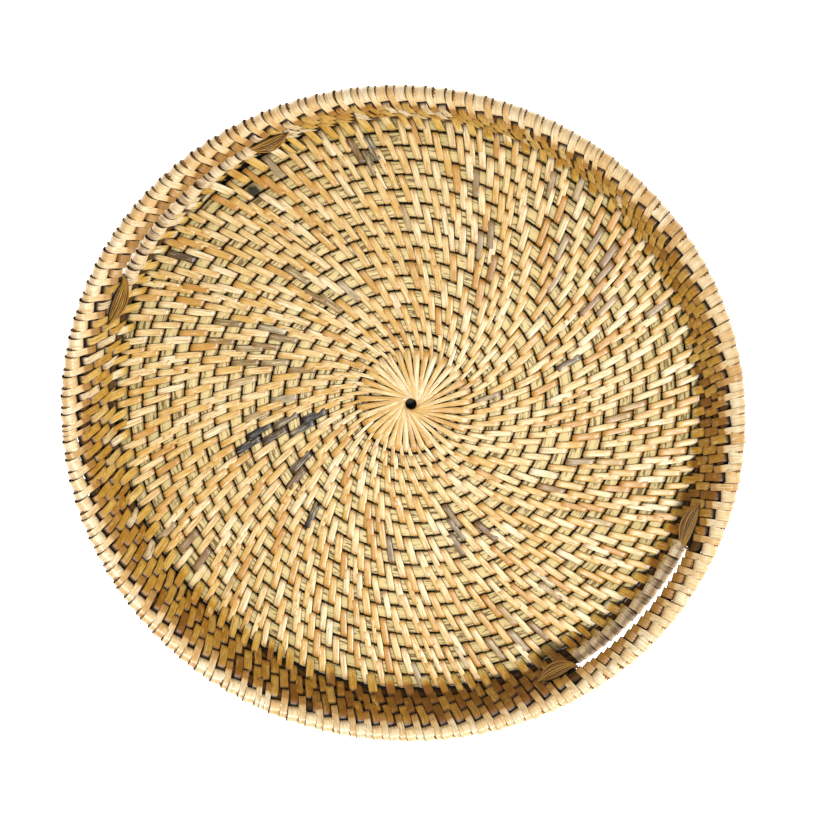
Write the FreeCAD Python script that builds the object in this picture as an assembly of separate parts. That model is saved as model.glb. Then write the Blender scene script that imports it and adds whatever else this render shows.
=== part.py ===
import FreeCAD, Part
import math
import os

# Winnowing basket: a round, shallow tray of coiled rattan with two hand slots in its wall.
# One cane winds out from the middle as a flat spiral, more canes are stacked on its edge as hoops,
# and thin strips are looped over two neighbouring canes at a time to hold everything together.
# Frame: millimetres, +Z up, +X through the hand slots, origin at the middle of the underside.

V = FreeCAD.Vector
UP = V(0, 0, 1)
SPARE = 50.0                 # enough to reach past any strip, where something is trimmed

# ---- driving dimensions ----
coil_pitch = 8.62            # from one cane to the next, on the floor and up the wall
coil_gap = 0.8               # clear space between neighbouring canes, which the strips pass through
cane_height = 6.2            # the canes are slightly flattened
strip_thickness = 0.6
strip_clearance = 0.05       # between a strip and the cane under it
strip_width = 3.5
strip_share = 0.30           # widest a strip may be, as a share of the spacing along its row
strip_slant = 18.0           # degrees between a strip and the radial direction

first_turn = 0.905           # where the floor spiral starts and ends, counted in pitches from the middle
last_turn = 20.465
spiral_phase = 0.946         # turns: sets the direction in which the spiral crosses each whole pitch
cane_ends = [2.905, 6.905, 10.905, 14.905, 18.905, last_turn]

spiral_offset = 4.0          # the floor spiral was started a little off the middle of the wall's rings
spiral_offset_angle = 83.0

wall_foot_radius = 178.9     # centre line of the lowest wall hoop
wall_foot_height = 11.35
wall_leans = [18.5, 23.0, 26.0, 51.0]     # degrees from vertical of each step up the wall, the last to the rim
rim_cane_diameter = 7.8
oval = 0.0135                # the rim's half-axes are this share longer and shorter than their mean
oval_angle = 44.0            # direction of the longer axis

slots = {"right": (1.1, 16.0), "left": (177.8, 17.7)}     # middle and half-width of each hand slot, degrees
slot_fade = 8.0              # degrees past a slot's end over which the hoops come back to level
slot_rise = 4.0              # how far the canes above a slot arch up at its middle
slot_dip = 0.8               # how far the cane below a slot bows down

centre_strips = 36
centre_taper = 0.28          # half the share of its sector that each middle strip fills
eye_radius = 3.3             # clear hole that the middle strips leave
centre_span = 4              # gap, counted from the first turn, where the middle strips end
floor_spacing = 10.8         # strips are added, one here and one there, to keep this mean spacing
wall_spacing = 10.6
row_settling = 0.22          # how much each row evens out the spacing of the row before it
settling_passes = 3          # how often a wall row is evened out
# A strip of a wall row lies within these shares of the way from one strip below it to the next, or two
# strips do where they have enough room; room is counted in wall spacings.
single_place = [(0.3, 0.7)]
double_places = [(0.27, 0.32), (0.68, 0.73)]
double_room = 1.1
skipped_room = 0.75          # a space narrower than this may be left without a strip
row_ends = [6.0, 10.0, 14.0, 17.5]      # turns that divide the floor rows into groups
row_split = 1.01             # turns before the spiral's end at which floor strips give way to corner strips
foot_every = 8               # of the strips in the outermost floor row, one in so many is a foot
corner_slope = 40.0          # how steeply the corner strips rise, in degrees
slot_margin = 1.5            # degrees that the interrupted rows of strips keep clear of a slot's end
edge_margin = 0.5            # degrees that the wraps at a slot's edge keep clear of its end

wrap_width = 5.6             # rim wraps, between the strips that come up from the wall
wrap_share = 0.6             # and never more than this share of the space between the strips
# For the row of strips just under a slot and the row just over it: the hoop at the slot's edge, which
# is wrapped between those strips, its side of their middles, and the greatest width of its wraps.
slot_edges = {1: (2, 1, 6.0), 4: (4, -1, 4.4)}
binding_length = 27.0
binding_taper = 0.25         # share by which the outer strands are shorter
binding_strands = 5
binding_strand_height = 1.6
binding_strand_gap = 0.03
binding_bulge = 1.7          # how far the middle strand stands off at the cut end
binding_hollow = 1.0         # and how much less the outer ones do
binding_tail = 0.1           # how far all of them stand off at the other end

# ---- worked out from them ----
cane_width = coil_pitch - coil_gap
end_radius = cane_height / 2
half_flat = (cane_width - cane_height) / 2
skin = strip_clearance + strip_thickness
floor_level = end_radius + skin
rim_radius = rim_cane_diameter / 2
rim_step = cane_width / 2 + coil_gap + rim_radius
slant = math.radians(strip_slant)
slant_slack = end_radius * (1 / math.cos(slant) - 1)


def direction(angle):
    """Horizontal unit vector at an angle in degrees from +X."""
    return V(math.cos(math.radians(angle)), math.sin(math.radians(angle)), 0)


def across(angle):
    """Horizontal unit vector along the hoops, anticlockwise."""
    return direction(angle + 90)


# ---- the floor spiral: half-turn arcs whose centres swap sides of its middle ----

spiral_middle = direction(spiral_offset_angle) * spiral_offset


def turn_angle(turn):
    """Direction in which the spiral lies after this many turns; it winds out clockwise."""
    return 360 * (spiral_phase - turn)


def half_turn(turn):
    """Start of the half-turn that holds this point of the spiral."""
    return first_turn + 0.5 * max(0, math.floor((turn - first_turn) * 2))


def coil_radius(turn):
    """Distance of the cane's centre line from the middle."""
    start = half_turn(turn)
    swing = 2 * math.pi * (turn - start)
    offset = coil_pitch / 4
    arc = coil_pitch * (start + 0.25)
    return math.sqrt(arc ** 2 - (offset * math.sin(swing)) ** 2) - offset * math.cos(swing)


def cane_section(middle, along, square):
    """Flattened round section of a cane: two half circles joined by flats lying along a direction."""
    a, b = middle - along * half_flat, middle + along * half_flat
    top, side = square * end_radius, along * end_radius
    edges = [Part.makeLine(a + top, b + top),
             Part.Arc(b + top, b + side, b - top).toShape(),
             Part.makeLine(b - top, a - top),
             Part.Arc(a - top, a - side, a + top).toShape()]
    return Part.Wire(edges)


def floor_cane(start, end):
    """One length of the spiral cane."""
    arcs = []
    turn = start
    while turn < end - 1e-6:
        step = min(0.5, end - turn)
        ray = direction(turn_angle(turn))
        middle = spiral_middle + ray * (coil_pitch * turn) + UP * floor_level
        face = Part.Face(cane_section(middle, ray, UP))
        arcs.append(face.revolve(spiral_middle - ray * (coil_pitch / 4), UP, -360 * step))
        turn += step
    return arcs[0].multiFuse(arcs[1:]).removeSplitter()


# ---- the hoops of the wall and the rim ----

def slot_bump(angle):
    """1 over the middle of a hand slot, falling smoothly to 0 past its ends."""
    for middle, half_width in slots.values():
        away = abs((angle - middle + 180) % 360 - 180) / (half_width + slot_fade)
        if away < 1:
            return 0.5 + 0.5 * math.cos(math.pi * away)
    return 0.0


def wall_directions(level):
    """(radial, z) unit vectors at one of the wall's hoops: up along the wall, and square to it outwards."""
    steps = wall_leans[max(0, level - 2):level]
    lean = math.radians(sum(steps) / len(steps))
    return (math.sin(lean), math.cos(lean)), (math.cos(lean), -math.sin(lean))


def hoop_centre(level, angle):
    """(radius, height) of a hoop's centre line. Levels 1 to 4 are the wall's canes and 5 is the rim."""
    radius, height = wall_foot_radius, wall_foot_height
    for step, lean in enumerate(wall_leans[:level - 1]):
        length = rim_step if step == 3 else coil_pitch
        radius += length * math.sin(math.radians(lean))
        height += length * math.cos(math.radians(lean))
    radius *= 1 + oval * level / 5 * math.cos(math.radians(2 * (angle - oval_angle)))
    height += {2: -slot_dip, 4: slot_rise, 5: slot_rise}.get(level, 0) * slot_bump(angle)
    return radius, height


def at(angle, radius, height):
    return direction(angle) * radius + UP * height


def hoop(level, start=0, end=360, step=5):
    """A cane bent round the wall; it is closed when it runs through 360 degrees."""
    closed = end - start == 360
    count = round((end - start) / step)
    angles = [start + (end - start) * i / count for i in range(count + (0 if closed else 1))]
    path = Part.BSplineCurve()
    path.interpolate(Points=[at(a, *hoop_centre(level, a)) for a in angles], PeriodicFlag=closed)
    middle = at(start, *hoop_centre(level, start))
    if level == 5:
        section = Part.Wire(Part.makeCircle(rim_radius, middle, across(start)))
    else:
        wall_up, wall_out = wall_directions(level)
        along = direction(start) * wall_up[0] + UP * wall_up[1]
        square = direction(start) * wall_out[0] + UP * wall_out[1]
        section = cane_section(middle, along, square)
    sweep = Part.BRepOffsetAPI.MakePipeShell(Part.Wire(path.toShape()))
    sweep.setBiNormalMode(UP)
    sweep.add(section, False, False)
    sweep.build()
    sweep.makeSolid()
    return sweep.shape()


# ---- strips ----

def hull(points):
    """The outermost of some points, anticlockwise."""
    points = sorted(points)
    rings = []
    for ordered in (points, points[::-1]):
        side = []
        for p in ordered:
            while len(side) > 1 and ((side[-1][0] - side[-2][0]) * (p[1] - side[-2][1])
                                     <= (side[-1][1] - side[-2][1]) * (p[0] - side[-2][0])):
                side.pop()
            side.append(p)
        rings += side[:-1]
    return rings


def band_outline(circles, grow):
    """Outline, in a plane, of a band pulled tight round circles (x, y, radius) given anticlockwise."""
    if len(circles) == 1:
        x, y, r = circles[0]
        return Part.Wire(Part.makeCircle(r + grow, V(x, y, 0)))
    tangents = []
    for (x0, y0, r0), (x1, y1, r1) in zip(circles, circles[1:] + circles[:1]):
        heading = math.atan2(y1 - y0, x1 - x0)
        tangents.append(heading - math.acos((r0 - r1) / math.hypot(x1 - x0, y1 - y0)))
    points = []
    edges = []
    for i, (x, y, r) in enumerate(circles):
        first = tangents[i - 1]
        turned = (tangents[i] - first) % (2 * math.pi)
        points.append([V(x, y, 0) + V(math.cos(first + turned * s), math.sin(first + turned * s), 0) * (r + grow)
                       for s in (0, 0.5, 1)])
        edges.append(Part.Arc(*points[-1]).toShape())
    for here, after in zip(points, points[1:] + points[:1]):
        edges.append(Part.makeLine(here[2], after[0]))
    return Part.Wire(Part.__sortEdges__(edges))


def band(circles, origin, along, square, width, open_from=None):
    """A flat band round circles drawn in the plane of two unit vectors, and pushed out by width.

    It is closed, unless open_from says how far along the part that is left out begins."""
    outlines = [band_outline(circles, skin), band_outline(circles, strip_clearance)]
    face = Part.makeFace(outlines, "Part::FaceMakerBullseye")
    if open_from is not None:
        half_plane = Part.makePlane(SPARE, 2 * SPARE, V(open_from, -SPARE, 0))
        face = face.cut(half_plane).Faces[0]
    frame = FreeCAD.Matrix(along.x, square.x, 0, origin.x, along.y, square.y, 0, origin.y,
                           along.z, square.z, 0, origin.z, 0, 0, 0, 1)
    third = along.cross(square)
    frame.A13, frame.A23, frame.A33 = third.x, third.y, third.z
    face.transformShape(frame)
    face.translate(width * -0.5)
    return face.extrude(width)


def stitch(angle, crossing, heading, circles, tilt, width, middle=V(0, 0, 0)):
    """A strip looped round canes, at an angle round the wall's middle or another one.

    crossing is the (radius, height) where its middle lies, heading the (radial, z) direction in which
    it runs, circles the (radius, height, radius) that it is pulled round, and tilt its slant."""
    side = (-heading[1], heading[0])
    flat = []
    for r, z, size in circles:
        dr, dz = r - crossing[0], z - crossing[1]
        flat.append(((dr * heading[0] + dz * heading[1]) / math.cos(tilt), dr * side[0] + dz * side[1], size))
    ray, sideways = direction(angle), across(angle)
    along = (ray * heading[0] + UP * heading[1]) * math.cos(tilt) + sideways * math.sin(tilt)
    square = ray * side[0] + UP * side[1]
    return band(flat, middle + at(angle, *crossing), along, square, sideways * (width / math.cos(tilt)))


def floor_rows():
    """Every floor strip as (turn, spacing): where it crosses between two coils, and the room it has.

    Each strip lies beside the end of one in the row inside it, so the rows follow on from each other,
    and a strip is added now and then as the rows get longer."""
    start = centre_span - 1.0
    turns = [start + i / centre_strips for i in range(centre_strips + 1)]
    i = 0
    owed = 0.0
    while turns[-1] < last_turn:
        i += 1
        before, here, after = turns[i - 1:i + 2]
        spacing = math.pi * coil_pitch * here * (after - before)
        here += row_settling * (before + after - 2 * here)
        shift = coil_pitch * math.tan(slant) + spacing / 3
        child = here + 1 - shift / (2 * math.pi * coil_pitch * (here + 1))
        room = (child - turns[-1]) * 2 * math.pi * coil_pitch * child
        if room < spacing / 2:
            continue
        owed = max(0.0, owed + room / floor_spacing - 1)
        if owed > 1:
            owed -= 1
            turns.append((turns[-1] + child) / 2)
        turns.append(child)
    rows = []
    for before, here, after in zip(turns, turns[1:], turns[2:]):
        rows.append((here, math.pi * coil_pitch * here * (after - before)))
    return rows


def next_hoop_row(angles, radius):
    """Angles of the row above a closed row of strips: one between each two of them, and here and there
    a second one or none, to keep the mean spacing."""
    row = []
    owed = 0.0
    lead = math.degrees(coil_pitch * math.tan(slant) / radius)
    for here, after in zip(angles, angles[1:] + [angles[0] + 360]):
        room = math.radians(after - here) * radius / wall_spacing
        owed += room - 1
        shares = single_place
        if owed > 0.5 and room > double_room:
            owed -= 1
            shares = double_places
        elif owed < -0.5 and room < skipped_room:
            owed += 1
            shares = []
        for low, high in shares:
            low, high = (here + lead + share * (after - here) for share in (low, high))
            row.append(((low + high) / 2, low, high))
    for _ in range(settling_passes):
        ring = [row[-1][0] - 360] + [place for place, low, high in row] + [row[0][0] + 360]
        row = [(min(high, max(low, here + row_settling * (before + after - 2 * here))), low, high)
               for before, here, after, (_, low, high) in zip(ring, ring[1:], ring[2:], row)]
    return sorted(place % 360 for place, low, high in row)


def room_at(angles, i, radius):
    """Spacing along a closed row at its i-th strip."""
    span = (angles[(i + 1) % len(angles)] - angles[i - 1]) % 360
    return math.radians(span) / 2 * radius


def floor_stitch(turn, spacing):
    angle = turn_angle(turn)
    inner, outer = coil_radius(turn), coil_radius(turn + 1)
    middle = (inner + outer) / 2
    ends = []
    for radius, side in ((inner, -1), (outer, 1)):
        reach = side * (coil_pitch / 2 + half_flat) * math.tan(slant)
        true_turn = turn + (side > 0) - reach / (2 * math.pi * radius)
        radius = math.sqrt(coil_radius(true_turn) ** 2 - reach ** 2)
        ends.append((radius + side * (half_flat + slant_slack * math.cos(slant)), floor_level, end_radius))
    width = min(strip_width, strip_share * spacing)
    return stitch(angle, (middle, floor_level), (1, 0), ends, slant, width, spiral_middle)


def corner_stitch(turn, spacing):
    """Ties the floor's last coil to the lowest wall hoop."""
    coil = spiral_middle + direction(turn_angle(turn)) * coil_radius(turn)
    radius = coil.Length
    angle = math.degrees(math.atan2(coil.y, coil.x))
    wall_up = wall_directions(1)[0]
    hoop_r, hoop_z = hoop_centre(1, angle)
    centres = hull([(radius - half_flat, floor_level), (radius + half_flat, floor_level),
                    (hoop_r - half_flat * wall_up[0], hoop_z - half_flat * wall_up[1]),
                    (hoop_r + half_flat * wall_up[0], hoop_z + half_flat * wall_up[1])])
    circles = [(r, z, end_radius) for r, z in centres]
    heading = (math.cos(math.radians(corner_slope)), math.sin(math.radians(corner_slope)))
    crossing = ((radius + hoop_r) / 2, (floor_level + hoop_z) / 2)
    return stitch(angle, crossing, heading, circles, slant, min(strip_width, strip_share * spacing))


def wall_stitch(level, angle, spacing):
    """Ties a wall hoop to the one above it."""
    low, high = hoop_centre(level, angle), hoop_centre(level + 1, angle)
    heading = (high[0] - low[0], high[1] - low[1])
    length = math.hypot(*heading)
    heading = (heading[0] / length, heading[1] / length)
    reach = half_flat + slant_slack * math.cos(slant)
    circles = [(low[0] - heading[0] * reach, low[1] - heading[1] * reach, end_radius)]
    if level == 4:
        circles.append((high[0], high[1], rim_radius))
    else:
        circles.append((high[0] + heading[0] * reach, high[1] + heading[1] * reach, end_radius))
    crossing = ((low[0] + high[0]) / 2, (low[1] + high[1]) / 2)
    return stitch(angle, crossing, heading, circles, slant, min(strip_width, strip_share * spacing))


def hoop_wrap(level, angle, width, tilt=0.0):
    """A strip wound once round a single hoop."""
    r, z = hoop_centre(level, angle)
    wall_up = wall_directions(min(level, 4))[0]
    if level == 5:
        circles = [(r, z, rim_radius / math.cos(tilt))]
    else:
        circles = [(r - half_flat * wall_up[0], z - half_flat * wall_up[1], end_radius),
                   (r + half_flat * wall_up[0], z + half_flat * wall_up[1], end_radius)]
    return stitch(angle, (r, z), wall_up, circles, tilt, width)


def centre_stitch(i):
    """A strip from the eye in the middle over the first coils, narrow at the eye and wider outwards."""
    turn = centre_span - 1 + (i + 0.5) / centre_strips
    angle = turn_angle(turn)
    outer = coil_radius(turn)
    circles = [(eye_radius + skin + end_radius, floor_level, end_radius),
               (outer + half_flat, floor_level, end_radius)]
    loop = stitch(angle, (outer / 2, floor_level), (1, 0), circles, 0.0, 2 * strip_width, spiral_middle)
    ray, side = direction(angle), across(angle)
    far = outer + coil_pitch
    half_angle = centre_taper * math.radians(360 / centre_strips)
    wedge = Part.makePolygon([V(0, 0, -1), ray * far - side * far * half_angle - UP,
                              ray * far + side * far * half_angle - UP, V(0, 0, -1)])
    wedge.translate(spiral_middle)
    return loop.common(Part.Face(wedge).extrude(UP * (2 * floor_level + 2)))


def in_slot(angle, margin):
    """True where a strip would lie in a hand slot, or nearer to its end than the margin in degrees."""
    return any(abs((angle - middle + 180) % 360 - 180) < half_width + margin
               for middle, half_width in slots.values())


def end_binding(angle, outward):
    """Strands that wrap the cut end of the third hoop. outward is +1 or -1: which way the slot lies."""
    r, z = hoop_centre(3, angle)
    wall_up, wall_out = wall_directions(3)
    ray = direction(angle)
    into_wall = across(angle) * -outward
    square = ray * wall_out[0] + UP * wall_out[1]
    up = ray * wall_up[0] + UP * wall_up[1]
    strands = []
    for i in range(binding_strands):
        place = 2 * i / (binding_strands - 1) - 1
        length = binding_length * (1 - binding_taper * place ** 2)
        circles = [(0, 0, floor_level + binding_bulge - binding_hollow * place ** 2),
                   (length, 0, floor_level + binding_tail)]
        pitch = binding_strand_height + binding_strand_gap
        shift = up * (place * pitch * (binding_strands - 1) / 2)
        height = up * binding_strand_height
        strands.append(band(circles, at(angle, r, z) + shift, into_wall, square, height, length))
    return Part.makeCompound(strands)


def export(name, shape):
    shape.exportStep("parts/" + name + ".step")


os.makedirs("parts", exist_ok=True)

# floor canes
starts = [first_turn] + cane_ends[:-1]
for number, (start, end) in enumerate(zip(starts, cane_ends)):
    export("centre_coil" if number == 0 else f"floor_core_{number}", floor_cane(start, end))

# wall hoops and rim
for level in (1, 2, 4):
    export(f"wall_hoop_{level}", hoop(level))
(right_middle, right_half), (left_middle, left_half) = slots["right"], slots["left"]
export("wall_hoop_3_back", hoop(3, right_middle + right_half, left_middle - left_half))
export("wall_hoop_3_front", hoop(3, left_middle + left_half, 360 + right_middle - right_half))
export("rim_hoop", hoop(5))

# floor strips
export("centre_stitches", Part.makeCompound([centre_stitch(i) for i in range(centre_strips)]))
groups = [[] for _ in range(len(row_ends) + 1)]
feet = []
corner = []
for number, (turn, spacing) in enumerate(floor_rows()):
    if last_turn - 2 < turn < last_turn - row_split and number % foot_every == 0:
        feet.append(floor_stitch(turn, spacing))
    elif turn < last_turn - row_split:
        groups[sum(turn > end for end in row_ends)].append(floor_stitch(turn, spacing))
    elif last_turn - 1 < turn < last_turn:
        corner.append((turn, spacing))
for number, group in enumerate(groups):
    export(f"floor_stitches_{number + 1}", Part.makeCompound(group))
export("foot_stitches", Part.makeCompound(feet))
export("corner_stitches", Part.makeCompound([corner_stitch(turn, spacing) for turn, spacing in corner]))

# wall strips
angles = sorted(turn_angle(turn) % 360 for turn, spacing in corner)
edge_wraps = {name: [] for name in slots}
for level in (1, 2, 3, 4):
    radius = hoop_centre(level, 0)[0]
    angles = next_hoop_row(angles, radius)
    strips = []
    for i, angle in enumerate(angles):
        if level in slot_edges or not in_slot(angle, slot_margin):
            strips.append(wall_stitch(level, angle, room_at(angles, i, radius)))
    export("rim_stitches" if level == 4 else f"wall_stitches_{level}", Part.makeCompound(strips))
    if level not in slot_edges:
        continue
    edge, side, widest = slot_edges[level]
    lead = side * math.degrees(coil_pitch / 2 * math.tan(slant) / radius)
    for here, after in zip(angles, angles[1:] + [angles[0] + 360]):
        place = (here + after) / 2 + lead
        width = min(widest, wrap_share * math.radians(after - here) * radius)
        for name, (middle, half_width) in slots.items():
            if abs((place - middle + 180) % 360 - 180) < half_width - edge_margin:
                edge_wraps[name].append(hoop_wrap(edge, place, width, slant))

for name, wraps in edge_wraps.items():
    export(f"slot_edge_wrap_{name}", Part.makeCompound(wraps))

# rim wraps lie between the strips that come up from the wall
rim_lead = math.degrees(coil_pitch / 2 * math.tan(slant) / hoop_centre(5, 0)[0])
wraps = []
for here, after in zip(angles, angles[1:] + [angles[0] + 360]):
    free = math.radians(after - here) * hoop_centre(5, here)[0]
    wraps.append(hoop_wrap(5, (here + after) / 2 + rim_lead, min(wrap_width, wrap_share * free), slant))
export("rim_wraps", Part.makeCompound(wraps))

# bindings round the cut ends of the third hoop
for name, (middle, half_width) in slots.items():
    export(f"end_binding_{name}_a", end_binding(middle - half_width, 1))
    export(f"end_binding_{name}_b", end_binding(middle + half_width, -1))
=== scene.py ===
import math

import bpy
import numpy as np
from mathutils import Matrix, Vector


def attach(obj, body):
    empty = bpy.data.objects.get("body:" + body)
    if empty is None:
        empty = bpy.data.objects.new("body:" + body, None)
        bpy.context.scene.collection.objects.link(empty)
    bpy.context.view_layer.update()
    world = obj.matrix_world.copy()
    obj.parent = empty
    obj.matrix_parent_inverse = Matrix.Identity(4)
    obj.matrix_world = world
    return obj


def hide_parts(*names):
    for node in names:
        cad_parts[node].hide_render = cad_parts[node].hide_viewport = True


# Winnowing basket: the looks of every strip and cane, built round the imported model.
# Lengths are millimetres until a mesh is made, and angles are degrees, but the strips' slants are
# radians. +Z is up and +X runs through the right hand slot.

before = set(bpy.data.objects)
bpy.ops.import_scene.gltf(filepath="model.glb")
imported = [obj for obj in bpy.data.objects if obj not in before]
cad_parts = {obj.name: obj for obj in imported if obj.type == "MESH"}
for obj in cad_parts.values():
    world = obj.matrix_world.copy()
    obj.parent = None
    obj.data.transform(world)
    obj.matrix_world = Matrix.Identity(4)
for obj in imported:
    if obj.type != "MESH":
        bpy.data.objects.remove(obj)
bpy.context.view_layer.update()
rng = np.random.default_rng(41)

# ---- sizes shared with the CAD source ----
coil_pitch = 8.62                # from one cane to the next, on the floor and up the wall
coil_gap = 0.8                   # clear space between neighbouring canes
cane_height = 6.2                # the canes are slightly flattened
skin = 0.65                      # a strip and the clearance under it
strip_slant = math.radians(18)   # between a strip and the radial direction
first_turn = 0.905               # the floor spiral's start and end, counted in pitches from its middle
last_turn = 20.465
spiral_phase = 0.946             # turns: sets the direction in which it crosses each whole pitch
cane_ends = [2.905, 6.905, 10.905, 14.905, 18.905, last_turn]
spiral_offset = 4.0              # from the middle of the wall's rings to the spiral's middle
spiral_offset_angle = 83.0
wall_foot_radius = 178.9         # centre line of the lowest wall hoop
wall_foot_height = 11.35
wall_leans = [18.5, 23.0, 26.0, 51.0]     # from vertical, for each step up the wall, the last to the rim
rim_radius = 3.9
oval = 0.0135                    # the rim's half-axes are this share longer and shorter than their mean
oval_angle = 44.0                # direction of the longer axis
slots = {"right": (1.1, 16.0), "left": (177.8, 17.7)}     # middle and half-width of each hand slot
slot_fade = 8.0                  # past a slot's end, over which the hoops come back to level
slot_rise = 4.0                  # how far the hoops above a slot arch up at its middle
slot_dip = 0.8                   # how far the hoop below a slot bows down
slot_edges = {1: (2, 1), 4: (4, -1)}      # row of strips: the hoop wrapped between them, and its side
centre_strips = 36
centre_span = 4                  # gap, counted from the first turn, where the rosette's strips end
floor_spacing = 10.8             # strips are added, one here and one there, to keep this mean spacing
wall_spacing = 10.6
row_settling = 0.22              # how much each row evens out the spacing of the row before it
settling_passes = 3              # how often a wall row is evened out
# A strip of a wall row lies within these shares of the way from one strip below it to the next, or two
# strips do where they have enough room; room is counted in wall spacings.
single_place = [(0.3, 0.7)]
double_places = [(0.27, 0.32), (0.68, 0.73)]
double_room = 1.1
skipped_room = 0.75              # a space narrower than this may be left without a strip
row_split = 1.01                 # turns before the spiral's end where corner strips take over
row_ends = [6.0, 10.0, 14.0, 17.5]        # turns that divide the floor rows into groups
foot_every = 8                   # of the strips in the outermost floor row, one in so many is a foot
corner_slope = 40.0              # how steeply the corner strips rise
slot_margin = 1.5                # that the interrupted rows of strips keep clear of a slot's end
edge_margin = 0.5                # that the wraps at a slot's edge keep clear of its end

# ---- sizes of the detailed pieces ----
# Widest a strip may be, and its share of the spacing along its row.
floor_widths = (4.3, .46)
wall_widths = (5.2, .49)
rim_widths = (4.4, .42)
slot_strip_width = 5.4           # the strips that come up under a hand slot
rim_wrap_share = .66             # of the space between the rim's strips
# For the hoops wrapped at a slot's edge: share of the space between strips, tones, and lift.
slot_wrap_shares = {2: .6, 4: .5}
# The wraps on hoop 4 lie under the rim, and their dark tones are painted shade.
slot_wrap_tones = {2: (0, .15), 4: (.8, 1)}
slot_wrap_lifts = {2: .2, 4: 0.0}
floor_clearance = .04            # between strip and cane
wall_clearance = .05
wall_dip = .35                   # how far a strip sags between its two canes
rim_dip = .4
eye_line = 3.6                   # how far from the middle the rosette's strips pass it
binding_lengths = {"righta": 24.0, "rightb": 28.0, "lefta": 25.0, "leftb": 30.0}
binding_strands = 7
shoulder = 1.9                   # radius of the corners that a floor strip bends round

# What differs from strip to strip: ranges, and the spread of a slant or an angle.
slant_spread = .03
wall_angle_spread = .08
floor_thicknesses = (.5, .72)
wall_thicknesses = (.5, .7)
wrap_thicknesses = (.5, .68)
rosette_thickness = .55
floor_dips = (.05, .3)
floor_width_play = (.88, 1.1)
wall_width_play = (.92, 1.08)
rosette_width_play = (.92, 1.1)
floor_shift_along = .22          # spread of a floor strip's place along its coils
floor_shift_across = .12

end_radius = cane_height / 2
half_flat = (coil_pitch - coil_gap - cane_height) / 2
floor_level = end_radius + skin
rim_step = (coil_pitch - coil_gap) / 2 + coil_gap + rim_radius
UP = np.array([0.0, 0.0, 1.0])


# ---- where the canes lie, as in the CAD source ----

def direction(angle):
    """Horizontal unit vector at an angle from +X."""
    a = np.radians(angle)
    return np.stack([np.cos(a), np.sin(a), np.zeros_like(a)], -1)


def across(angle):
    """Horizontal unit vector along the hoops, anticlockwise."""
    return direction(np.asarray(angle, float) + 90)


spiral_middle = direction(spiral_offset_angle) * spiral_offset


def turn_angle(turn):
    """Direction in which the spiral lies after this many turns; it winds out clockwise."""
    return 360 * (spiral_phase - turn)


def coil_radius(turn):
    """Distance of the floor cane's centre line from the spiral's middle: half-turn arcs."""
    turn = np.asarray(turn, float)
    start = first_turn + 0.5 * np.maximum(0, np.floor((turn - first_turn) * 2))
    swing = 2 * np.pi * (turn - start)
    offset = coil_pitch / 4
    arc = coil_pitch * (start + 0.25)
    return np.sqrt(arc ** 2 - (offset * np.sin(swing)) ** 2) - offset * np.cos(swing)


def slot_bump(angle):
    """1 over the middle of a hand slot, falling smoothly to 0 past its ends."""
    angle = np.asarray(angle, float)
    bump = np.zeros_like(angle)
    for middle, half_width in slots.values():
        away = np.abs((angle - middle + 180) % 360 - 180) / (half_width + slot_fade)
        bump += np.where(away < 1, 0.5 + 0.5 * np.cos(np.pi * away), 0)
    return bump


def wall_directions(level):
    """(radial, z) at a hoop: up along the wall, and square to it outwards."""
    steps = wall_leans[max(0, level - 2):level]
    lean = math.radians(sum(steps) / len(steps))
    return (math.sin(lean), math.cos(lean)), (math.cos(lean), -math.sin(lean))


def hoop_centre(level, angle):
    """(radius, height) of a hoop's centre line. Levels 1 to 4 are the wall's canes and 5 is the rim."""
    radius, height = wall_foot_radius, wall_foot_height
    for step, lean in enumerate(wall_leans[:level - 1]):
        length = rim_step if step == 3 else coil_pitch
        radius += length * math.sin(math.radians(lean))
        height += length * math.cos(math.radians(lean))
    angle = np.asarray(angle, float)
    radius = radius * (1 + oval * level / 5 * np.cos(np.radians(2 * (angle - oval_angle))))
    height = height + {2: -slot_dip, 4: slot_rise, 5: slot_rise}.get(level, 0) * slot_bump(angle)
    return radius, height


# ---- where the strips lie, as in the CAD source ----

def floor_rows():
    """Every floor strip as (turn, spacing): where it crosses between two coils, and the room it has."""
    start = centre_span - 1.0
    turns = [start + i / centre_strips for i in range(centre_strips + 1)]
    i = 0
    owed = 0.0
    while turns[-1] < last_turn:
        i += 1
        before, here, after = turns[i - 1:i + 2]
        spacing = math.pi * coil_pitch * here * (after - before)
        here += row_settling * (before + after - 2 * here)
        shift = coil_pitch * math.tan(strip_slant) + spacing / 3
        child = here + 1 - shift / (2 * math.pi * coil_pitch * (here + 1))
        room = (child - turns[-1]) * 2 * math.pi * coil_pitch * child
        if room < spacing / 2:
            continue
        owed = max(0.0, owed + room / floor_spacing - 1)
        if owed > 1:
            owed -= 1
            turns.append((turns[-1] + child) / 2)
        turns.append(child)
    return [(here, math.pi * coil_pitch * here * (after - before))
            for before, here, after in zip(turns, turns[1:], turns[2:])]


def next_hoop_row(angles, radius):
    """Angles of the row above a closed row of strips: one between each two of them, and here and there
    a second one or none, to keep the mean spacing."""
    row = []
    owed = 0.0
    lead = math.degrees(coil_pitch * math.tan(strip_slant) / radius)
    for here, after in zip(angles, angles[1:] + [angles[0] + 360]):
        room = math.radians(after - here) * radius / wall_spacing
        owed += room - 1
        shares = single_place
        if owed > 0.5 and room > double_room:
            owed -= 1
            shares = double_places
        elif owed < -0.5 and room < skipped_room:
            owed += 1
            shares = []
        for low, high in shares:
            low, high = (here + lead + share * (after - here) for share in (low, high))
            row.append(((low + high) / 2, low, high))
    for _ in range(settling_passes):
        ring = [row[-1][0] - 360] + [place for place, low, high in row] + [row[0][0] + 360]
        row = [(min(high, max(low, here + row_settling * (before + after - 2 * here))), low, high)
               for before, here, after, (_, low, high) in zip(ring, ring[1:], ring[2:], row)]
    return sorted(place % 360 for place, low, high in row)


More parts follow.
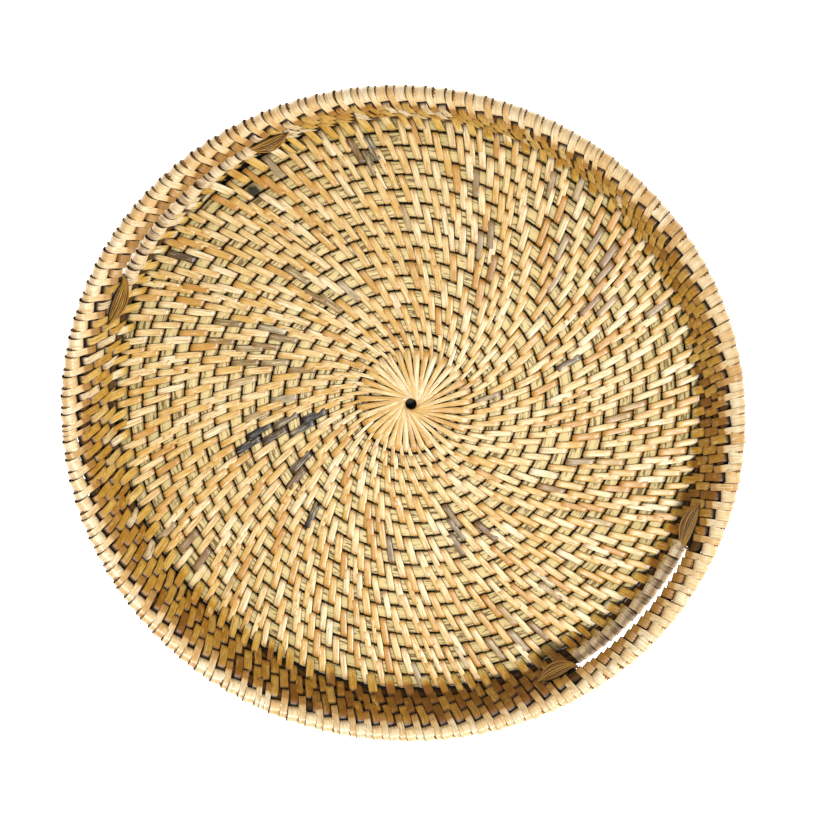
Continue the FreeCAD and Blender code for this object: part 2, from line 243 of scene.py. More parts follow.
def room_at(angles, i, radius):
    """Spacing along a closed row at its i-th strip."""
    return math.radians((angles[(i + 1) % len(angles)] - angles[i - 1]) % 360) / 2 * radius


def in_slot(angle, margin):
    """True in a hand slot, or nearer to its end than the margin."""
    return any(abs((angle - middle + 180) % 360 - 180) < half_width + margin
               for middle, half_width in slots.values())


# ---- meshes ----

SHARP = math.radians(50)         # edges steeper than this aren't shaded smooth


def build(node, points, quads, values, material):
    """One piece that stands for a CAD node, from points in millimetres and values at each of them."""
    name = node + "_looks"
    mesh = bpy.data.meshes.new(name)
    mesh.vertices.add(len(points))
    mesh.vertices.foreach_set("co", (points * 0.001).astype(np.float32).ravel())
    mesh.loops.add(quads.size)
    mesh.loops.foreach_set("vertex_index", quads.astype(np.int32).ravel())
    mesh.polygons.add(len(quads))
    mesh.polygons.foreach_set("loop_start", np.arange(0, quads.size, 4, dtype=np.int32))
    mesh.update(calc_edges=True)
    mesh.validate()
    for key, value in values.items():
        if value.ndim == 2:
            mesh.attributes.new(key, "FLOAT_VECTOR", "POINT").data.foreach_set(
                "vector", value.astype(np.float32).ravel())
        else:
            mesh.attributes.new(key, "FLOAT", "POINT").data.foreach_set("value", value.astype(np.float32))
    mesh.shade_smooth()
    mesh.set_sharp_from_angle(angle=SHARP)
    mesh.materials.append(material)
    piece = bpy.data.objects.new(name, mesh)
    bpy.context.scene.collection.objects.link(piece)
    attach(piece, "root")
    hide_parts(node)


# ---- strips ----

# Sections of a strip: points in half-widths across it and in thicknesses up it.
PLAIN = np.array([[-1, .45], [-.9, .86], [-.45, 1], [.45, 1], [.9, .86], [1, .45], [.92, 0], [-.92, 0]])
FLAT = np.array([[-1, .5], [-.97, .9], [-.6, .97], [-.36, .95], [-.3, .86], [-.22, .96], [.05, 1],
                 [.33, .97], [.4, .88], [.47, .96], [.7, .98], [.97, .9], [1, .5], [.96, 0], [-.96, 0]])


def unit(v):
    """Vectors brought to length 1."""
    return v / np.maximum(np.linalg.norm(v, axis=-1, keepdims=True), 1e-9)


def sweep(paths, normals, half_widths, heights, closed, section, values):
    """Strips swept along paths, each given at all of its samples: points, quads and vertex values."""
    path, normal, half_width, height = (np.array(v) for v in (paths, normals, half_widths, heights))
    count, samples, _ = path.shape
    sides = len(section)
    ahead = np.roll(path, -1, 1)
    behind = np.roll(path, 1, 1)
    if not closed:
        ahead[:, -1] = path[:, -1]
        behind[:, 0] = path[:, 0]
    tangent = unit(ahead - behind)
    side = unit(np.cross(tangent, normal))
    normal = np.cross(side, tangent)
    u, h = section[:, 0], section[:, 1]
    offset = (side[:, :, None] * (half_width[:, :, None] * u)[..., None]
              + normal[:, :, None] * (height[:, :, None] * (h - 0.5))[..., None])
    points = path[:, :, None] + offset
    index = np.arange(count * samples * sides).reshape(count, samples, sides)
    last = samples if closed else samples - 1
    a = index[:, :last]
    b = np.roll(index, -1, 1)[:, :last]
    quads = np.stack([a, np.roll(a, -1, 2), np.roll(b, -1, 2), b], -1).reshape(-1, 4)
    if not closed:
        # end caps, for a section of eight points
        for ring, order in ((index[:, 0], 1), (index[:, -1], -1)):
            caps = [ring[:, corners[::order]] for corners in ([0, 7, 2, 1], [7, 6, 3, 2], [6, 5, 4, 3])]
            quads = np.concatenate([quads, *caps])
    step = np.linalg.norm(np.diff(path, axis=1), axis=-1)
    run = np.concatenate([np.zeros((count, 1)), np.cumsum(step, 1)], 1)
    seed = rng.uniform(0, 1000, count)
    whole = np.ones((count, samples, sides))
    grain = np.stack([whole * run[:, :, None], half_width[:, :, None] * u, whole * seed[:, None, None]], -1)
    result = {"grain": grain.reshape(-1, 3), "edge": (whole * np.abs(u)).reshape(-1)}
    zero = np.zeros(count)
    for key, value in {"gap_shade": zero, "stain_and_hole_shade": zero, "grey": zero, **values}.items():
        value = np.asarray(value, float)
        value = value[:, None] if value.ndim == 1 else value
        result[key] = (whole * value[:, :, None]).reshape(-1)
    return points.reshape(-1, 3), quads, result


def outline(circles, grow, arc_steps, line_steps):
    """Closed band pulled round circles given anticlockwise: points and normals in the plane.

    The first point is where the band leaves the last line and meets the first circle. line_steps may
    differ from line to line."""
    steps = [line_steps] * len(circles) if isinstance(line_steps, int) else line_steps
    tangents = []
    for (x0, y0, r0), (x1, y1, r1) in zip(circles, circles[1:] + circles[:1]):
        heading = math.atan2(y1 - y0, x1 - x0)
        tangents.append(heading - math.acos(max(-1.0, min(1.0, (r0 - r1) / math.hypot(x1 - x0, y1 - y0)))))
    arcs = []
    for i, (x, y, r) in enumerate(circles):
        turned = (tangents[i] - tangents[i - 1]) % (2 * math.pi)
        a = tangents[i - 1] + turned * np.linspace(0, 1, arc_steps + 1)
        n = np.stack([np.cos(a), np.sin(a)], -1)
        arcs.append((n * (r + grow) + [x, y], n))
    points, normals = [], []
    for (p, n), (q, m), count in zip(arcs, arcs[1:] + arcs[:1], steps):
        points.append(p)
        normals.append(n)
        s = np.linspace(0, 1, count + 1)[1:-1, None]
        points.append(p[-1] * (1 - s) + q[0] * s)
        normals.append(n[-1] * (1 - s) + m[0] * s)
    return np.concatenate(points), np.concatenate(normals)


def hull(points):
    """The outermost of some points, anticlockwise."""
    points = sorted(points)
    rings = []
    for ordered in (points, points[::-1]):
        side = []
        for p in ordered:
            while len(side) > 1 and ((side[-1][0] - side[-2][0]) * (p[1] - side[-2][1])
                                     <= (side[-1][1] - side[-2][1]) * (p[0] - side[-2][0])):
                side.pop()
            side.append(p)
        rings += side[:-1]
    return rings


# How fast a strip's tone changes along it, where it differs between its canes, and how far up.
tone_change = 2.5
tone_middle = .9


def loops(specs, section=PLAIN, arc_steps=6, line_steps=4, dip=0.0):
    """Closed loops round canes. Each spec: angle, crossing, heading, circles, tilt, width, thickness, tone.

    A tone may be a pair, for the lower and the upper cane; the upper turn then gets no painted shade."""
    paths, normals, widths, heights, tones, gap_shades, ends = [], [], [], [], [], [], []
    for angle, crossing, heading, circles, tilt, width, thickness, tone in specs:
        side = (-heading[1], heading[0])
        flat = [((r - crossing[0]) * heading[0] + (z - crossing[1]) * heading[1],
                 (r - crossing[0]) * side[0] + (z - crossing[1]) * side[1], size) for r, z, size in circles]
        points, normal = outline(flat, wall_clearance + thickness / 2, arc_steps, line_steps)
        reach = np.abs(points[:, 0]).max()
        sag = dip * np.cos(np.clip(points[:, 0] / reach, -1, 1) * np.pi / 2) ** 2
        points[:, 1] -= np.where(points[:, 1] > 0, sag, 0)
        ray, sideways = direction(angle), across(angle)
        along = ray * heading[0] + UP * heading[1] + sideways * math.tan(tilt)
        square = ray * side[0] + UP * side[1]
        origin = ray * crossing[0] + UP * crossing[1]
        paths.append(origin + points[:, :1] * along + points[:, 1:] * square)
        normals.append(normal[:, :1] * unit(along) + normal[:, 1:] * square)
        widths.append(np.full(len(points), width / 2))
        heights.append(np.full(len(points), thickness))
        pair = isinstance(tone, tuple)
        low, high = tone if pair else (tone, tone)
        tones.append(low + (high - low) * np.clip(points[:, 0] / reach * tone_change + tone_middle, 0, 1))
        # Painted shade where the strip turns down between canes; with a pair of tones, only on the lower
        # turn.
        turned = 1 - np.abs(normal[:, 1])
        gap_shades.append(turned * (points[:, 0] < 0) if pair else turned)
        ends.append(np.abs(points[:, 0]) / reach)
    return sweep(paths, normals, widths, heights, True, section,
                 {"tone": tones, "gap_shade": gap_shades, "end": ends})


# Where strips are stained: (radius, angle, spread, share of strips, darkness, greyness).
spots = [(79, 237, 13, .75, .95, .1), (86, 259, 10, .6, .8, .0), (93, 168, 13, .45, .6, .0),
         (77, 329, 13, .6, .6, .6), (84, 63, 10, .6, .7, .4), (155, 257, 12, .5, .3, .9),
         (155, 139, 6, .5, .6, .0), (120, 108, 12, .4, .3, .8), (159, 189, 7, .5, .8, .1),
         (100, 200, 16, .3, .5, .1), (112, 95, 10, .3, .25, .8), (140, 75, 22, .12, .2, .9),
         (84, 300, 10, .3, .5, .4), (90, 190, 12, .35, .5, .1), (70, 215, 9, .3, .6, .1)]
stray_share = 0.03               # of the other strips, so many are a little stained
missing_place = direction(166.3) * 158
missing_reach = 5.2              # no strip lies nearer than this to the place where one is missing
brown_side = -15.0               # direction in which the wall is brownest, partly its own colour and partly painted shade
brown_share = .28                # and how much it adds to a strip's tone there


def stains(place):
    """(stain, grey) of a strip."""
    place = place * [1, 1, 0]
    for r, a, spread, share, dark, grey in spots:
        away = np.linalg.norm(place - direction(a) * r)
        if rng.random() < share * math.exp(-(away / spread) ** 2) * 1.3:
            return dark * rng.uniform(.7, 1.05), grey
    if rng.random() < stray_share:
        return rng.uniform(.1, .35), rng.uniform(0, 1)
    return 0.0, 0.0


def strip_width(widths, spacing):
    widest, share = widths
    return min(widest, share * spacing)


def floor_strips(rows):
    """Strips over two coils whose undersides run on to the next strip."""
    paths, normals, widths, heights = [], [], [], []
    values = {key: [] for key in ("tone", "gap_shade", "end", "stain_and_hole_shade", "grey")}
    for turn, spacing in rows:
        angle = turn_angle(turn)
        slant = strip_slant + rng.normal(0, slant_spread)
        thickness = rng.uniform(*floor_thicknesses)
        inner, outer = coil_radius(turn), coil_radius(turn + 1)
        middle = (inner + outer) / 2
        ends = []
        for radius, side in ((inner, -1), (outer, 1)):
            # a slanted strip crosses each coil a little to one side of its middle's own turn
            reach = side * (coil_pitch / 2 + half_flat) * math.tan(slant)
            true_turn = turn + (side > 0) - reach / (2 * math.pi * radius)
            radius = math.sqrt(coil_radius(true_turn) ** 2 - reach ** 2)
            ends.append(radius + side * (half_flat + end_radius - shoulder) - middle)
        drop = end_radius - shoulder
        corners = [(ends[0], -drop, shoulder), (ends[1], -drop, shoulder),
                   (ends[1], drop, shoulder), (ends[0], drop, shoulder)]
        points, normal = outline(corners, floor_clearance + thickness / 2, arc_steps=4,
                                 line_steps=(4, 2, 6, 2))
        # from the inner coil over the top, down, and back underneath
        order = [(-1 - i) % len(points) for i in range(len(points) + 1)]
        points, normal = points[order], normal[order]
        s, n = points[:, 0], points[:, 1]
        half = np.abs(s).max()
        top = n > 0
        sag = rng.uniform(*floor_dips) * np.cos(np.clip(s / half, -1, 1) * np.pi / 2) ** 2
        n = n - np.where(top, sag, 0)
        shift = s * math.tan(slant)
        turned = np.arange(len(s)) > len(s) / 2
        back = np.clip((half - s) / (2 * half), 0, 1)
        under = (1 - back) * half * math.tan(slant) + back * (spacing - half * math.tan(slant))
        shift = np.where(turned & ~top, under, shift) + rng.normal(0, floor_shift_along)
        s = s + rng.normal(0, floor_shift_across)
        ray, sideways = direction(angle), across(angle)
        origin = spiral_middle + ray * middle + UP * floor_level
        paths.append(origin + s[:, None] * ray + n[:, None] * UP + shift[:, None] * sideways)
        normals.append(normal[:, :1] * ray + normal[:, 1:] * UP)
        width = strip_width(floor_widths, spacing) * rng.uniform(*floor_width_play)
        widths.append(np.full(len(s), width / 2) * (1 - .08 * np.abs(s / half) ** 3))
        heights.append(np.full(len(s), thickness))
        stain_and_hole_shade, grey = stains(origin)
        values["tone"].append(np.full(len(s), rng.beta(2, 2.2)))
        # Painted shade where the strip turns down between coils.
        values["gap_shade"].append(1 - np.abs(normal[:, 1]))
        values["end"].append(np.abs(s) / half)
        values["stain_and_hole_shade"].append(np.full(len(s), stain_and_hole_shade))
        values["grey"].append(np.full(len(s), grey))
    return sweep(paths, normals, widths, heights, False, PLAIN, values)


def centre_rosette():
    """Strips laid like an iris: each is a straight line that passes the eye on one side."""
    paths, normals, widths, heights = [], [], [], []
    values = {"tone": [], "gap_shade": [], "end": []}
    for i in range(centre_strips):
        turn = centre_span - 1 + (i + 0.5) / centre_strips + rng.normal(0, .002)
        angle = turn_angle(turn)
        outer = coil_radius(turn) + half_flat
        far = outer + end_radius + .3
        reach = math.sqrt(far ** 2 - eye_line ** 2)
        # the strip comes up out of the eye, runs flat and goes down between two coils
        x = np.array([0, 0, .25, 1, 2.2, *np.linspace(5, reach - 3.4, 9),
                      reach - 2, reach - .9, reach - .2, reach, reach])
        z = np.array([-5.6, -2.5, -.9, -.05, .3] + [.3] * 9 + [-.1, -.8, -1.9, -3.6, -5.4])
        lift = rng.uniform(0, .25)
        swing = math.degrees(math.asin(eye_line / far))
        ray, sideways = direction(angle + swing), across(angle + swing)
        height = 2 * end_radius + skin + z + lift * (z > 0)
        paths.append(spiral_middle + x[:, None] * ray - eye_line * sideways + height[:, None] * UP)
        tilt = np.clip((x - 1.5) / 3, 0, 1) - np.clip((x - (reach - 2.6)) / 2.4, 0, 1)
        inwards = np.where(x < reach / 2, -1.0, 1.0)
        normals.append(unit(UP * tilt[:, None] + ray * (inwards * (1 - tilt))[:, None]))
        spread = .5 + 3.9 * np.clip(x / reach, 0, 1) ** .75
        widths.append(spread / 2 * rng.uniform(*rosette_width_play))
        heights.append(np.full(len(x), rosette_thickness))
        values["tone"].append(np.full(len(x), rng.uniform(.1, .85)))
        # Painted shade where the strip goes down into the eye or between coils.
        values["gap_shade"].append(np.clip(-z / 3, 0, 1))
        values["end"].append(np.clip(np.abs(x / reach * 2 - 1) - .15, 0, 1))
    return sweep(paths, normals, widths, heights, False, PLAIN, values)


SIDES = 40                       # points round a cane
groove_every = 4                 # of them, one in so many is sunk
groove_depth = .22
ridges = rng.uniform(0, 1, SIDES)


def cane(centre, along, square, radius, flat, closed, square_section=False):
    """A grooved cane along a line of points, square in section where that is asked for."""
    phi = np.arange(SIDES) / SIDES * 2 * np.pi
    groove = np.where(np.arange(SIDES) % groove_every == 0, groove_depth, 0) * (.5 + ridges)
    r = radius - groove
    power = .45 if square_section else 1.0
    x = (flat + r) * np.sign(np.cos(phi)) * np.abs(np.cos(phi)) ** power
    y = r * np.sign(np.sin(phi)) * np.abs(np.sin(phi)) ** power
    count = len(centre)
    points = centre[:, None] + along[:, None] * x[None, :, None] + square[:, None] * y[None, :, None]
    index = np.arange(count * SIDES).reshape(count, SIDES)
    last = count if closed else count - 1
    a = index[:last]
    b = np.roll(index, -1, 0)[:last]
    quads = np.stack([a, b, np.roll(b, -1, 1), np.roll(a, -1, 1)], -1).reshape(-1, 4)
    if not closed:
        for ring, order in ((index[0], 1), (index[-1], -1)):
            fan = [[ring[i], ring[i + 1], ring[SIDES - 2 - i], ring[SIDES - 1 - i]][::order]
                   for i in range(SIDES // 2 - 1)]
            quads = np.concatenate([quads, np.array(fan)])
    run = np.concatenate([[0], np.cumsum(np.linalg.norm(np.diff(centre, axis=0), axis=1))])
    whole = np.ones((count, SIDES))
    seed = rng.uniform(0, 1000)
    grain = np.stack([whole * run[:, None], whole * (phi * radius), whole * seed], -1).reshape(-1, 3)
    zero = np.zeros(count * SIDES)
    far = np.linalg.norm(points[..., :2], axis=-1).reshape(-1)
    # Painted shade: round the place where a strip is missing, the cane is painted near-black like a hole.
    away = np.linalg.norm((points - missing_place)[..., :2], axis=-1).reshape(-1)
    return points.reshape(-1, 3), quads, {"grain": grain, "tone": far / 200, "gap_shade": zero, "end": zero,
                                          "stain_and_hole_shade": np.clip(2.2 - away / 3, 0, 1), "grey": zero, "edge": zero}


# ---- materials ----

def ramp(tree, stops, fac):
    """Colour at a value, between stops of (place, hex colour)."""
    node = tree.nodes.new("ShaderNodeValToRGB")
    while len(node.color_ramp.elements) < len(stops):
        node.color_ramp.elements.new(0.5)
    for element, (place, colour) in zip(node.color_ramp.elements, stops):
        element.position = place
        element.color = (*linear(colour), 1)
    tree.links.new(fac, node.inputs[0])
    return node.outputs[0]


def linear(colour, share=.8):
    """An sRGB hex colour as linear values, for a surface that looks so in a bright light."""
    parts = [int(colour[i:i + 2], 16) / 255 for i in (1, 3, 5)]
    return tuple(share * (p / 12.92 if p <= .04045 else ((p + .055) / 1.055) ** 2.4) for p in parts)


def attribute(tree, name, output="Fac"):
    node = tree.nodes.new("ShaderNodeAttribute")
    node.attribute_name = name
    return node.outputs[output]


DIRT_AND_SHADE = .97                       # how much of a crevice's own colour its dirt and painted shade hide
dirt_and_shade_colour = "#140A04"
stain_colour = "#1C0C04"
grey_colour = "#96744C"
# Pale streaks, partly bleached peel and partly painted highlight.
pale_streak_and_highlight_colour = linear("#FFFAEC", 1.0)
# Painted shade, dark like a hole, on the cane where a strip is missing.
hole_shade_colour = "#0E0804"


def mixed(tree, fac, a, b):
    """Two colours mixed. Each is a hex colour, linear values or another node's output."""
    node = tree.nodes.new("ShaderNodeMix")
    node.data_type = "RGBA"
    node.clamp_factor = True
    for value, socket in ((fac, node.inputs[0]), (a, node.inputs[6]), (b, node.inputs[7])):
        if isinstance(value, bpy.types.NodeSocket):
            tree.links.new(value, socket)
        elif isinstance(value, str):
            socket.default_value = (*linear(value), 1)
        elif isinstance(value, tuple):
            socket.default_value = (*value, 1)
        else:
            socket.default_value = value
    return node.outputs[2]


def curve(tree, value, low, high, out_low=0.0, out_high=1.0):
    """A smooth step: out_low where the value is low, and out_high where it is high."""
    node = tree.nodes.new("ShaderNodeMapRange")
    node.interpolation_type = "SMOOTHSTEP"
    for name, number in (("From Min", low), ("From Max", high), ("To Min", out_low), ("To Max", out_high)):
        node.inputs[name].default_value = number
    tree.links.new(value, node.inputs["Value"])
    return node.outputs["Result"]


def product(tree, a, b):
    node = tree.nodes.new("ShaderNodeMath")
    node.operation = "MULTIPLY"
    for value, socket in ((a, node.inputs[0]), (b, node.inputs[1])):
        if isinstance(value, bpy.types.NodeSocket):
            tree.links.new(value, socket)
        else:
            socket.default_value = value
    return node.outputs[0]


def noise(tree, vector, scale, detail=3.0, roughness=.55):
    mapping = tree.nodes.new("ShaderNodeMapping")
    mapping.inputs["Scale"].default_value = scale
    tree.links.new(vector, mapping.inputs["Vector"])
    node = tree.nodes.new("ShaderNodeTexNoise")
    node.inputs["Scale"].default_value = 1.0
    node.inputs["Detail"].default_value = detail
    node.inputs["Roughness"].default_value = roughness
    tree.links.new(mapping.outputs[0], node.inputs["Vector"])
    return node.outputs["Fac"]


def crevice(tree):
    """How enclosed a spot is: 1 deep between strips, 0 in the open."""
    node = tree.nodes.new("ShaderNodeAmbientOcclusion")
    node.inputs["Distance"].default_value = .0035
    node.samples = 6
    return curve(tree, node.outputs["AO"], .45, .95, 1, 0)


def peel(name, stops, end_shade_colour, end_shade_share, speck_and_shade_colour, streak_colour, roughness, coat, pale_streak_and_highlight=.75,
         gap_shade_share=.85, dirt_and_shade=DIRT_AND_SHADE):
    """Strip of rattan peel: a tone of its own, pale streaks along it that are partly bleached peel and
    partly painted highlight, ends browned as painted shade, painted shade on its edges and where it turns
    into a gap, specks, and dirt and painted shade in its folds.
    """
    material = bpy.data.materials.new(name)
    material.use_nodes = True
    tree = material.node_tree
    shader = tree.nodes["Principled BSDF"]
    grain = attribute(tree, "grain", "Vector")
    colour = ramp(tree, stops, attribute(tree, "tone"))
    patch = noise(tree, grain, (.16, .3, 1), 2.0)
    colour = mixed(tree, curve(tree, patch, .5, .7, 0, .7), colour, stops[1][1])
    streak = noise(tree, grain, (.09, 1.25, 1), 4.0, .7)
    colour = mixed(tree, curve(tree, streak, .46, .66, 0, .85), colour, streak_colour)
    # Pale streaks along the grain: partly bleached peel, partly painted highlight.
    colour = mixed(tree, curve(tree, streak, .44, .3, 0, pale_streak_and_highlight), colour, pale_streak_and_highlight_colour)
    colour = mixed(tree, curve(tree, attribute(tree, "tone"), .7, .95, 0, .8), colour, stops[-1][1])
    # Painted shade: a strip's ends, where it turns down between canes, are browned.
    ends = product(tree, curve(tree, attribute(tree, "end"), .45, .95), curve(tree, patch, .3, .6, .25, 1))
    colour = mixed(tree, product(tree, ends, end_shade_share), colour, end_shade_colour)
    colour = mixed(tree, product(tree, attribute(tree, "grey"), .75), colour, grey_colour)
    # Painted shade along a strip's edges. The specks below are real marks in the same dark colour.
    colour = mixed(tree, curve(tree, attribute(tree, "edge"), .86, 1.0, 0, .7), colour, speck_and_shade_colour)
    specks = noise(tree, grain, (.8, 1.1, 1), 2.0)
    colour = mixed(tree, curve(tree, specks, .68, .76, 0, .75), colour, speck_and_shade_colour)
    smear = product(tree, attribute(tree, "stain_and_hole_shade"), curve(tree, streak, .36, .52, .6, 1.35))
    colour = mixed(tree, smear, colour, stain_colour)
    # Painted shade where the strip turns down into a gap.
    colour = mixed(tree, product(tree, curve(tree, attribute(tree, "gap_shade"), .25, .9), gap_shade_share), colour,
                   speck_and_shade_colour)
    # Dirt and painted shade in crevices: the more enclosed a spot is, the darker it is painted.
    colour = mixed(tree, product(tree, crevice(tree), dirt_and_shade), colour, dirt_and_shade_colour)
    tree.links.new(colour, shader.inputs["Base Color"])
    bump = tree.nodes.new("ShaderNodeBump")
    bump.inputs["Strength"].default_value = .35
    bump.inputs["Distance"].default_value = .0004
    tree.links.new(streak, bump.inputs["Height"])
    tree.links.new(bump.outputs[0], shader.inputs["Normal"])
    shader.inputs["Roughness"].default_value = roughness
    shader.inputs["Coat Weight"].default_value = coat
    shader.inputs["Coat Roughness"].default_value = .3
    return material


def cane_material(name, stops, groove_colour, roughness):
    """Bare cane with dark lines along it. The tone it is coloured by is its distance from the middle."""
    material = bpy.data.materials.new(name)
    material.use_nodes = True
    tree = material.node_tree
    shader = tree.nodes["Principled BSDF"]
    grain = attribute(tree, "grain", "Vector")
    colour = ramp(tree, stops, attribute(tree, "tone"))
    patch = noise(tree, grain, (.05, .1, 1), 2.0)
    colour = mixed(tree, curve(tree, patch, .45, .7, 0, .6), colour, stops[0][1])
    line = noise(tree, grain, (.08, 1.3, 1), 3.0, .65)
    colour = mixed(tree, curve(tree, line, .5, .62, 0, .85), colour, groove_colour)
    # Painted shade: near-black like a hole, round the place where a strip is missing.
    colour = mixed(tree, product(tree, attribute(tree, "stain_and_hole_shade"), .97), colour, hole_shade_colour)
    # Dirt and painted shade in crevices: the more enclosed a spot is, the darker it is painted.
    colour = mixed(tree, product(tree, crevice(tree), DIRT_AND_SHADE), colour, dirt_and_shade_colour)
    tree.links.new(colour, shader.inputs["Base Color"])
    bump = tree.nodes.new("ShaderNodeBump")
    bump.inputs["Strength"].default_value = .7
    bump.inputs["Distance"].default_value = .0006
    bump.invert = True
    tree.links.new(line, bump.inputs["Height"])
    tree.links.new(bump.outputs[0], shader.inputs["Normal"])
    shader.inputs["Roughness"].default_value = roughness
    shader.inputs["Specular IOR Level"].default_value = .2
    return material


floor_peel = peel("floor_peel", [(0, "#FCE9BC"), (.3, "#F4D592"), (.6, "#E4B556"), (1, "#C68A28")],
                  end_shade_colour="#B4701C", end_shade_share=.6, speck_and_shade_colour="#2E1604", streak_colour="#C48A38",
                  roughness=.4, coat=.3)
wall_peel = peel("wall_peel", [(0, "#FFEBC0"), (.1, "#E8C064"), (.4, "#D29E34"), (.7, "#B4780C"),
                               (1, "#8C5600")],
                 end_shade_colour="#7A4200", end_shade_share=.6, speck_and_shade_colour="#200E02", streak_colour="#A87212",
                 roughness=.5, coat=.05, pale_streak_and_highlight=.3)
rim_peel = peel("rim_peel", [(0, "#FFEDC6"), (.35, "#F8DAA2"), (.62, "#E6B672"), (1, "#A06C14")],
                end_shade_colour="#CC924A", end_shade_share=.3, speck_and_shade_colour="#5A3414", streak_colour="#DDAC68",
                roughness=.4, coat=.25, pale_streak_and_highlight=.6, gap_shade_share=.4, dirt_and_shade=.45)
binding_peel = peel("binding_peel", [(0, "#D8A83A"), (.5, "#B88428"), (1, "#8A5A12")],
                    end_shade_colour="#6A400A", end_shade_share=.4, speck_and_shade_colour="#1C0E02", streak_colour="#8A5C10",
                    roughness=.5, coat=.05, pale_streak_and_highlight=.2, gap_shade_share=.3, dirt_and_shade=.7)
floor_cane = cane_material("floor_cane", [(0, "#F4DDA2"), (.6, "#EBCF8E"), (.84, "#D2BC7C"),
                                          (.94, "#989060")],
                           groove_colour="#5E3E14", roughness=.6)
wall_cane = cane_material("wall_cane", [(0, "#6E4A18"), (1, "#5A3A10")], groove_colour="#1E0E02",
                          roughness=.65)
rim_cane = cane_material("rim_cane", [(0, "#B4843A"), (1, "#9C6C28")], groove_colour="#3A2008",
                         roughness=.6)

# ---- canes ----

longest_sample = 3.2             # between two sections of a floor cane
widest_sample = 6 / 360          # and in turns


def floor_canes():
    """The floor spiral, a piece for each length of cane."""
    for number, (start, end) in enumerate(zip([first_turn] + cane_ends[:-1], cane_ends)):
        turns = [start]
        while turns[-1] < end - 1e-6:
            step = min(widest_sample, longest_sample / (2 * math.pi * coil_pitch * turns[-1]))
            turns.append(min(end, turns[-1] + step))
        turns = np.array(turns)
        ray = direction(turn_angle(turns))
        centre = spiral_middle + ray * coil_radius(turns)[:, None] + UP * floor_level
        node = "centre_coil" if number == 0 else f"floor_core_{number}"
        square = np.broadcast_to(UP, ray.shape)
        build(node, *cane(centre, ray, square, end_radius, half_flat, closed=False, square_section=True),
              floor_cane)


def hoop(node, level, start, end, material):
    """A wall hoop from one angle to another, or at level 5 the rim."""
    closed = end - start == 360
    count = round(end - start)
    angle = np.linspace(start, end, count + 1)[:count + (0 if closed else 1)]
    radius, height = hoop_centre(level, angle)
    ray = direction(angle)
    centre = ray * radius[:, None] + UP * height[:, None]
    wall_up, wall_out = wall_directions(min(level, 4))
    along = ray * wall_up[0] + UP * wall_up[1]
    square = ray * -wall_out[0] - UP * wall_out[1]
    size, flat = (rim_radius, 0.0) if level == 5 else (end_radius, half_flat)
    build(node, *cane(centre, along, square, size, flat, closed), material)


floor_canes()
for level in (1, 2, 4):
    hoop(f"wall_hoop_{level}", level, 0, 360, wall_cane)
(right_middle, right_half), (left_middle, left_half) = slots["right"], slots["left"]
hoop("wall_hoop_3_back", 3, right_middle + right_half, left_middle - left_half, wall_cane)
hoop("wall_hoop_3_front", 3, left_middle + left_half, 360 + right_middle - right_half, wall_cane)
hoop("rim_hoop", 5, 0, 360, rim_cane)

# ---- floor strips ----

build("centre_stitches", *centre_rosette(), floor_peel)
groups = [[] for _ in range(len(row_ends) + 1)]
feet, corner = [], []
for number, (turn, spacing) in enumerate(floor_rows()):
    place = spiral_middle + direction(turn_angle(turn)) * (coil_pitch * (turn + .5))
    gone = np.linalg.norm(place - missing_place) < missing_reach
    if last_turn - 2 < turn < last_turn - row_split and number % foot_every == 0:
        feet.append((turn, spacing))
    elif turn < last_turn - row_split and not gone:
        groups[sum(turn > end for end in row_ends)].append((turn, spacing))
    elif last_turn - 1 < turn < last_turn:
        corner.append((turn, spacing))
for number, group in enumerate(groups):
    build(f"floor_stitches_{number + 1}", *floor_strips(group), floor_peel)
build("foot_stitches", *floor_strips(feet), floor_peel)


# ---- wall strips ----

def spec(angle, crossing, heading, circles, width, tone):
    """What loops() needs for a strip, with a little play in its place, slant, width and thickness."""
    angle = angle + rng.normal(0, wall_angle_spread)
    return (angle, crossing, heading, circles, strip_slant + rng.normal(0, slant_spread),
            width * rng.uniform(*wall_width_play), rng.uniform(*wall_thicknesses), tone)


def browner(angle, tone):
    """A wall strip's tone, browner on one side of the tray: partly the wall's own colour, partly painted
    shade.
    """
    return max(0.0, min(1.0, tone + brown_share * math.cos(math.radians(angle - brown_side))))


def padded(circles, count):
    """The same circles, with the last one repeated a hair's breadth on until there are this many."""
    circles = list(circles)
    while len(circles) < count:
        (r, z, _), (first_r, first_z, _) = circles[-1], circles[0]
        circles.append((r + 1e-4 * (first_r - r), z + 1e-4 * (first_z - z), end_radius))
    return circles


def corner_strips():
    """Strips that tie the floor's last coil to the lowest wall hoop."""
    specs = []
    wall_up = wall_directions(1)[0]
    slope = math.radians(corner_slope)
    heading = (math.cos(slope), math.sin(slope))
    for turn, spacing in corner:
        coil = spiral_middle + direction(turn_angle(turn)) * coil_radius(turn)
        radius = float(np.linalg.norm(coil))
        angle = math.degrees(math.atan2(coil[1], coil[0]))
        hoop_r, hoop_z = (float(v) for v in hoop_centre(1, angle))
        centres = hull([(radius - half_flat, floor_level), (radius + half_flat, floor_level),
                        (hoop_r - half_flat * wall_up[0], hoop_z - half_flat * wall_up[1]),
                        (hoop_r + half_flat * wall_up[0], hoop_z + half_flat * wall_up[1])])
        circles = [(r, z, end_radius) for r, z in centres]
        crossing = ((radius + hoop_r) / 2, (floor_level + hoop_z) / 2)
        tone = (rng.uniform(0, .35), browner(angle, rng.beta(2, 2.6)))
        specs.append(spec(angle, crossing, heading, circles, strip_width(wall_widths, spacing), tone))
    most = max(len(circles) for _, _, _, circles, *_ in specs)
    return loops([(*s[:3], padded(s[3], most), *s[4:]) for s in specs])


